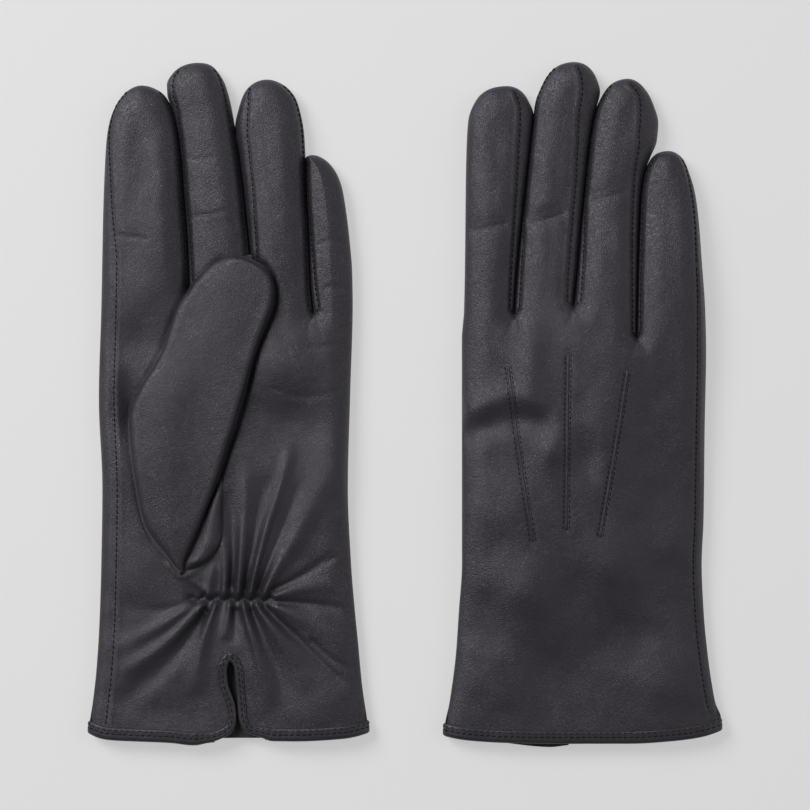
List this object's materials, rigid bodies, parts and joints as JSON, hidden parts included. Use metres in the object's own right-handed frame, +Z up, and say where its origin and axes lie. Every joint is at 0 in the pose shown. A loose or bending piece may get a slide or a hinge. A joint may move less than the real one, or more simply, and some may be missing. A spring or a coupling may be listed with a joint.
{
  "type": "pair of dress gloves",
  "caption": "Pair of slim lined dark leather dress gloves lying side by side, one palm up and one palm down, with stitched points, gathered wrist and bound hem.",
  "frame": {"origin": "on the surface the gloves lie on, at the centre of the pair", "axes": "+Y from the hems to the fingertips, +X from the left glove to the right glove, +Z up"},
  "size_m": [0.2338, 0.25, 0.0189],
  "materials": {
    "leather": "satin grain",
    "leather_binding": "satin",
    "lining": "brushed knit",
    "elastic": "woven",
    "thread": "waxed"
  },
  "bodies": {
    "left_hand": {"left_back_panel": "leather", "left_palm_panel": "leather", "left_hem_binding": "leather_binding", "left_index_middle_fourchette": "leather", "left_middle_ring_fourchette": "leather", "left_ring_little_fourchette": "leather", "left_hand_lining": "lining", "left_vent_binding": "leather_binding", "left_wrist_elastic": "elastic", "left_side_seam_threads": "thread", "left_back_points": "leather"},
    "left_index": {"left_index_back": "leather", "left_index_palm": "leather", "left_index_fourchettes": "leather", "left_index_lining": "lining"},
    "left_middle": {"left_middle_back": "leather", "left_middle_palm": "leather", "left_middle_fourchettes": "leather", "left_middle_lining": "lining"},
    "left_ring": {"left_ring_back": "leather", "left_ring_palm": "leather", "left_ring_fourchettes": "leather", "left_ring_lining": "lining"},
    "left_little": {"left_little_back": "leather", "left_little_palm": "leather", "left_little_fourchettes": "leather", "left_little_lining": "lining"},
    "left_thumb": {"left_thumb_leather": "leather", "left_thumb_lining": "lining"},
    "right_hand": {"right_back_panel": "leather", "right_palm_panel": "leather", "right_hem_binding": "leather_binding", "right_index_middle_fourchette": "leather", "right_middle_ring_fourchette": "leather", "right_ring_little_fourchette": "leather", "right_hand_lining": "lining", "right_vent_binding": "leather_binding", "right_wrist_elastic": "elastic", "right_side_seam_threads": "thread", "right_back_points": "leather"},
    "right_index": {"right_index_back": "leather", "right_index_palm": "leather", "right_index_fourchettes": "leather", "right_index_lining": "lining"},
    "right_middle": {"right_middle_back": "leather", "right_middle_palm": "leather", "right_middle_fourchettes": "leather", "right_middle_lining": "lining"},
    "right_ring": {"right_ring_back": "leather", "right_ring_palm": "leather", "right_ring_fourchettes": "leather", "right_ring_lining": "lining"},
    "right_little": {"right_little_back": "leather", "right_little_palm": "leather", "right_little_fourchettes": "leather", "right_little_lining": "lining"},
    "right_thumb": {"right_thumb_leather": "leather", "right_thumb_lining": "lining"}
  },
  "joints": [
    {"name": "left_index_fold", "type": "hinge", "parent": "left_hand", "child": "left_index", "pos_m": [-0.0987, 0.062, 0.01], "axis": [1, 0, 0], "range_deg": [0, 80]},
    {"name": "left_middle_fold", "type": "hinge", "parent": "left_hand", "child": "left_middle", "pos_m": [-0.0726, 0.066, 0.01], "axis": [1, 0, 0], "range_deg": [0, 80]},
    {"name": "left_ring_fold", "type": "hinge", "parent": "left_hand", "child": "left_ring", "pos_m": [-0.0479, 0.067, 0.01], "axis": [1, 0, 0], "range_deg": [0, 80]},
    {"name": "left_little_fold", "type": "hinge", "parent": "left_hand", "child": "left_little", "pos_m": [-0.0287, 0.061, 0.01], "axis": [1, 0, 0], "range_deg": [0, 80]},
    {"name": "left_thumb_swing", "type": "hinge", "parent": "left_hand", "child": "left_thumb", "pos_m": [-0.0888, -0.0445, 0.01], "axis": [0, 0, 1], "range_deg": [0, 40]},
    {"name": "right_index_fold", "type": "hinge", "parent": "right_hand", "child": "right_index", "pos_m": [0.0328, 0.063, 0.01455], "axis": [1, 0, 0], "range_deg": [0, 80]},
    {"name": "right_middle_fold", "type": "hinge", "parent": "right_hand", "child": "right_middle", "pos_m": [0.0567, 0.068, 0.01455], "axis": [1, 0, 0], "range_deg": [0, 80]},
    {"name": "right_ring_fold", "type": "hinge", "parent": "right_hand", "child": "right_ring", "pos_m": [0.0787, 0.071, 0.01455], "axis": [1, 0, 0], "range_deg": [0, 80]},
    {"name": "right_little_fold", "type": "hinge", "parent": "right_hand", "child": "right_little", "pos_m": [0.0997, 0.061, 0.01455], "axis": [1, 0, 0], "range_deg": [0, 80]},
    {"name": "right_thumb_swing", "type": "hinge", "parent": "right_hand", "child": "right_thumb", "pos_m": [0.0416, -0.0445, 0.00455], "axis": [0, 0, 1], "range_deg": [0, 40]},
    {"name": "right_glove_lift", "type": "slide", "parent": "left_hand", "child": "right_hand", "axis": [0, 0, 1], "range_m": [0, 0.12]}
  ]
}
